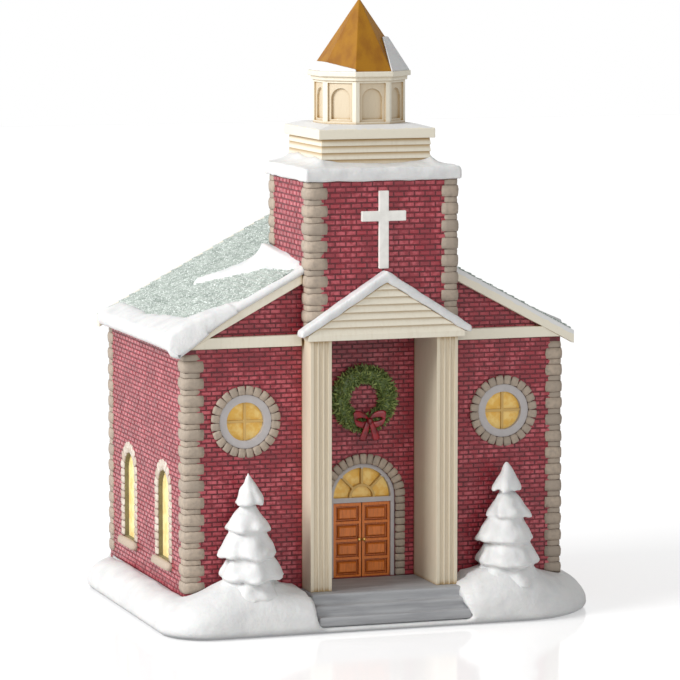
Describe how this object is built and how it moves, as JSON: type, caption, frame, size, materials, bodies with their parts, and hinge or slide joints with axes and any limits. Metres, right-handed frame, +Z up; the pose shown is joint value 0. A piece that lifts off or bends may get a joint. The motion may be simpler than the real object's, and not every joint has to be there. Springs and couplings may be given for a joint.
{
  "type": "ceramic village church",
  "caption": "Lit ceramic village church with brick nave, square tower, octagonal lantern and spire, pillared porch, snowy base and a battery light unit underneath.",
  "frame": {"origin": "middle of the base's underside, on the table", "axes": "+X to the viewer's right facing the front, +Y to the back, +Z up; the front faces -Y"},
  "size_m": [0.164, 0.138, 0.2187],
  "materials": {
    "brick": "painted brick relief, satin",
    "stone": "painted stone, matt",
    "window_stone": "painted grey stone, matt",
    "cream": "cream paint with antique wash, satin",
    "snow": "white snow glaze with fine glitter",
    "shingle": "grey-green shingles under glitter",
    "gold": "gold-brown metallic glaze",
    "door_paint": "orange-brown wood paint",
    "frame_paint": "grey paint",
    "step_paint": "blue-grey paint, matt",
    "white_paint": "white paint, satin",
    "amber_pane": "translucent amber pane",
    "knob_gold": "painted gold dot",
    "wreath_green": "green leaf relief",
    "bow_red": "deep red ribbon relief",
    "housing_plastic": "moulded white plastic",
    "switch_plastic": "black moulded plastic",
    "steel": "plated steel strip",
    "cell_sleeve": "plain printed sleeve",
    "board": "green circuit board",
    "led_lens": "clear warm lens"
  },
  "bodies": {
    "house": {"snow_base": "snow", "roof_snow": "snow", "spire_snow": "snow", "pediment_snow": "snow", "tower_ledge": "snow", "tree_left": "snow", "tree_right": "snow", "entrance_steps": "step_paint", "nave_walls": "brick", "tower_walls": "brick", "nave_roof": "shingle", "gable_cornice_left": "cream", "gable_cornice_right": "cream", "back_gable_trim": "cream", "belfry_plinth": "cream", "plinth_cap": "cream", "lantern": "cream", "lantern_cornice": "cream", "pediment": "cream", "pier_left": "cream", "pier_right": "cream", "nave_quoins_front": "stone", "nave_quoins_back": "stone", "tower_quoins_front": "stone", "tower_quoins_back": "stone", "tower_cross": "white_paint", "spire": "gold", "door_left": "door_paint", "door_right": "door_paint", "door_knobs": "knob_gold", "door_frame": "frame_paint", "round_window_frame_left": "frame_paint", "round_window_frame_right": "frame_paint", "door_surround": "window_stone", "round_window_surround_left": "window_stone", "round_window_surround_right": "window_stone", "side_window_surround_left_front": "window_stone", "side_window_surround_left_back": "window_stone", "side_window_surround_right_front": "window_stone", "side_window_surround_right_back": "window_stone", "fanlight_pane": "amber_pane", "round_window_pane_left": "amber_pane", "round_window_pane_right": "amber_pane", "side_window_pane_left_front": "amber_pane", "side_window_pane_left_back": "amber_pane", "side_window_pane_right_front": "amber_pane", "side_window_pane_right_back": "amber_pane", "wreath": "wreath_green", "wreath_bow": "bow_red", "light_housing": "housing_plastic", "switch_body": "switch_plastic", "positive_contacts": "steel", "negative_contacts": "steel", "battery_cells": "cell_sleeve", "circuit_board": "board", "led_lamp": "led_lens"},
    "battery_door": {"battery_door": "housing_plastic"},
    "switch": {"switch_knob": "switch_plastic"}
  },
  "joints": [
    {"name": "battery_door_hinge", "type": "hinge", "parent": "house", "child": "battery_door", "pos_m": [-0.02395, 0.0083, 0.0022], "axis": [0, 1, 0], "range_deg": [0, 95]},
    {"name": "switch_slide", "type": "slide", "parent": "house", "child": "switch", "axis": [1, 0, 0], "range_m": [0, 0.003]}
  ]
}
